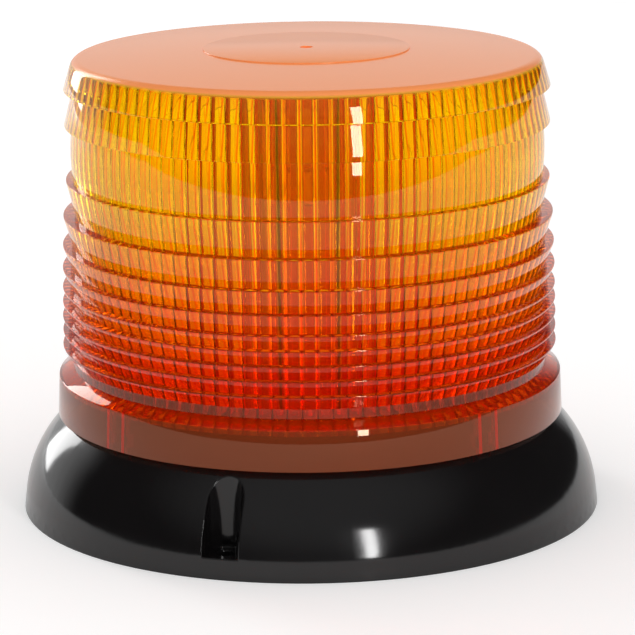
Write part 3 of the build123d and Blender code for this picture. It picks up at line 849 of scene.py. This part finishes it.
class BEACON_OT_electronics(bpy.types.Operator):
    """Finish the boards, the light tower, what they carry and the screws"""

    bl_idname = "beacon.electronics"
    bl_label = "Boards and light tower"

    def execute(self, context):
        colours = context.scene.beacon_colours
        repaint(circuit("board_green", colours.board_green), "driver_board")
        repaint(circuit("board_red", colours.board_red), "led_boards", "collar_board")
        repaint(metal("tower_aluminium", TOWER_ALUMINIUM, 0.3, 0.42, ALONG_TOWER),
                "light_tower", "tower_foot")
        repaint(metal("screw_steel", SCREW_STEEL, 0.25, 0.4), "plate_screws",
                "board_screws", "foot_screws", "tie_screw", "terminal_screws")
        repaint(metal("pin_brass", PIN_BRASS, 0.25, 0.35), "header_pins")
        repaint(moulded("black_cap", CAP_BLACK, 0.35, 0.5), "tower_cap", "header_block")
        repaint(moulded("thermal_tape", TAPE_GREY, 0.7, 0.85), "thermal_tapes")
        repaint(moulded("capacitor_can", CAN_BLUE, 0.25, 0.35), "capacitors")
        repaint(moulded("chip_epoxy", EPOXY_BLACK, 0.5, 0.6),
                "driver_chips", "power_transistors", "inductor")
        repaint(moulded("terminal_green", colours.terminal_green, 0.35, 0.45),
                "supply_terminal")
        repaint(moulded("led_package", LED_ORANGE, 0.3, 0.45), "leds")
        return {"FINISHED"}


def aimed(location, target):
    """Rotation that points a lamp or camera at a target."""
    return (Vector(target) - Vector(location)).to_track_quat("-Z", "Y")


def softbox(name, place, power):
    """A soft rectangular lamp that faces the object."""
    direction, height, distance, size = place
    light = bpy.data.lights.new(name, "AREA")
    light.shape = "RECTANGLE"
    light.size, light.size_y = size
    light.energy = power
    lamp = bpy.data.objects.new(name, light)
    lamp.location = (distance * sin(direction), -distance * cos(direction), height)
    lamp.rotation_euler = aimed(lamp.location, LAMP_AIM).to_euler()
    bpy.context.scene.collection.objects.link(lamp)


class BEACON_OT_stage(bpy.types.Operator):
    """Set the pale floor, the soft lamps, the surroundings and the camera"""

    bl_idname = "beacon.stage"
    bl_label = "Floor, lamps and camera"

    def execute(self, context):
        scene = context.scene
        stage = scene.beacon_stage
        self.lay_floor(scene, stage)
        softbox("strip_lamp", STRIP_LAMP, stage.strip_power)
        softbox("side_lamp", SIDE_LAMP, stage.side_power)
        self.surround(scene, stage)
        self.place_camera(scene, stage)
        scene.view_settings.view_transform = "Standard"
        return {"FINISHED"}

    def lay_floor(self, scene, stage):
        """A pale floor that shows white to the camera and keeps the shadow."""
        mesh = bpy.data.meshes.new("studio_floor")
        shape = bmesh.new()
        bmesh.ops.create_grid(shape, x_segments=1, y_segments=1, size=stage.floor_size / 2)
        back = Vector((0.0, stage.floor_size / 2 - stage.floor_front, 0.0))
        bmesh.ops.translate(shape, verts=shape.verts[:], vec=back)
        shape.to_mesh(mesh)
        shape.free()
        finish = Finish("studio_floor")
        finish.tint(finish.noise(3.0), *FLOOR_GREYS)
        path = finish.add("ShaderNodeLightPath").outputs
        seen = finish.reckon("MAXIMUM", path["Is Camera Ray"], path["Is Transmission Ray"])
        glossy = finish.reckon("MULTIPLY", path["Is Glossy Ray"], FLOOR_GLOSS)
        glow = finish.reckon("MULTIPLY", finish.reckon("MAXIMUM", seen, glossy), FLOOR_GLOW)
        finish.set(Roughness=0.9, Specular_IOR_Level=0.1, Emission_Color=WHITE,
                   Emission_Strength=glow)
        mesh.materials.append(finish.material)
        floor = bpy.data.objects.new("studio_floor", mesh)
        scene.collection.objects.link(floor)

    def surround(self, scene, stage):
        """White to the eye and through the plastic; in gloss, a white wall behind."""
        world = bpy.data.worlds.new("studio")
        scene.world = world
        world.use_nodes = True
        sky = Wiring(world.node_tree)
        path = sky.add("ShaderNodeLightPath").outputs
        right, back, up = sky.axes(sky.add("ShaderNodeTexCoord").outputs["Generated"])
        facing_wall = sky.reckon("ADD", sky.reckon("MULTIPLY", back, WALL_BACK),
                                 sky.reckon("MULTIPLY", right, WALL_RIGHT))
        facing_over = sky.reckon("ADD", sky.reckon("MULTIPLY", back, OVER_BACK),
                                 sky.reckon("MULTIPLY", up, OVER_UP))
        wall = sky.reckon("MULTIPLY",
                          sky.spread(facing_wall, WALL_EDGE, (0.0, 1.0), smooth=True),
                          sky.spread(up, WALL_TOP, (1.0, 0.0), smooth=True))
        gloss = sky.reckon("ADD", wall,
                           sky.spread(facing_over, OVER_EDGE, OVER_LEVELS, smooth=True))
        through = sky.spread(up, THROUGH_EDGE, THROUGH_LEVELS, smooth=True)
        strength = stage.sky_strength
        for kind, level in (("Is Glossy Ray", gloss), ("Is Transmission Ray", through),
                            ("Is Camera Ray", 1.0)):
            strength = sky.mix(path[kind], strength, level, MIX_NUMBERS)
        glow = sky.add("ShaderNodeBackground")
        sky.feed(strength, glow.inputs["Strength"])
        output = sky.add("ShaderNodeOutputWorld")
        sky.feed(glow.outputs["Background"], output.inputs["Surface"])

    def place_camera(self, scene, stage):
        """The camera at the viewpoint of a person who looks a little down."""
        data = bpy.data.cameras.new("camera")
        data.lens = stage.focal_length
        data.shift_x, data.shift_y = stage.shift
        camera = bpy.data.objects.new("camera", data)
        reach = stage.camera_distance
        camera.location = (0.0, -reach * cos(stage.camera_pitch),
                           stage.aim_height + reach * sin(stage.camera_pitch))
        aim = aimed(camera.location, (0.0, 0.0, stage.aim_height)).to_matrix().to_4x4()
        spin = Matrix.Rotation(stage.camera_roll, 4, "Z")
        camera.matrix_world = Matrix.Translation(camera.location) @ aim @ spin
        scene.collection.objects.link(camera)
        scene.camera = camera


class BEACON_PT_parts(bpy.types.Panel):
    """Buttons that build the beacon"""

    bl_idname = "BEACON_PT_parts"
    bl_label = "Warning beacon"
    bl_space_type = "VIEW_3D"
    bl_region_type = "UI"
    bl_category = "Beacon"

    def draw(self, context):
        for operator in OPERATORS:
            self.layout.operator(operator.bl_idname)


GROUPS = (("beacon_lens", LensSizes), ("beacon_housing", HousingSizes),
          ("beacon_colours", FinishColours), ("beacon_stage", StageSizes))
OPERATORS = (BEACON_OT_housing, BEACON_OT_underside, BEACON_OT_electronics,
             BEACON_OT_lens, BEACON_OT_stage)


def register():
    for name, group in GROUPS:
        bpy.utils.register_class(group)
        setattr(bpy.types.Scene, name, PointerProperty(type=group))
    for operator in OPERATORS:
        bpy.utils.register_class(operator)
    bpy.utils.register_class(BEACON_PT_parts)


def unregister():
    bpy.utils.unregister_class(BEACON_PT_parts)
    for operator in reversed(OPERATORS):
        bpy.utils.unregister_class(operator)
    for name, group in reversed(GROUPS):
        delattr(bpy.types.Scene, name)
        bpy.utils.unregister_class(group)


def main():
    register()
    bpy.ops.beacon.housing()
    bpy.ops.beacon.underside()
    bpy.ops.beacon.electronics()
    bpy.ops.beacon.lens()
    bpy.ops.beacon.stage()


if __name__ == "__main__":
    main()
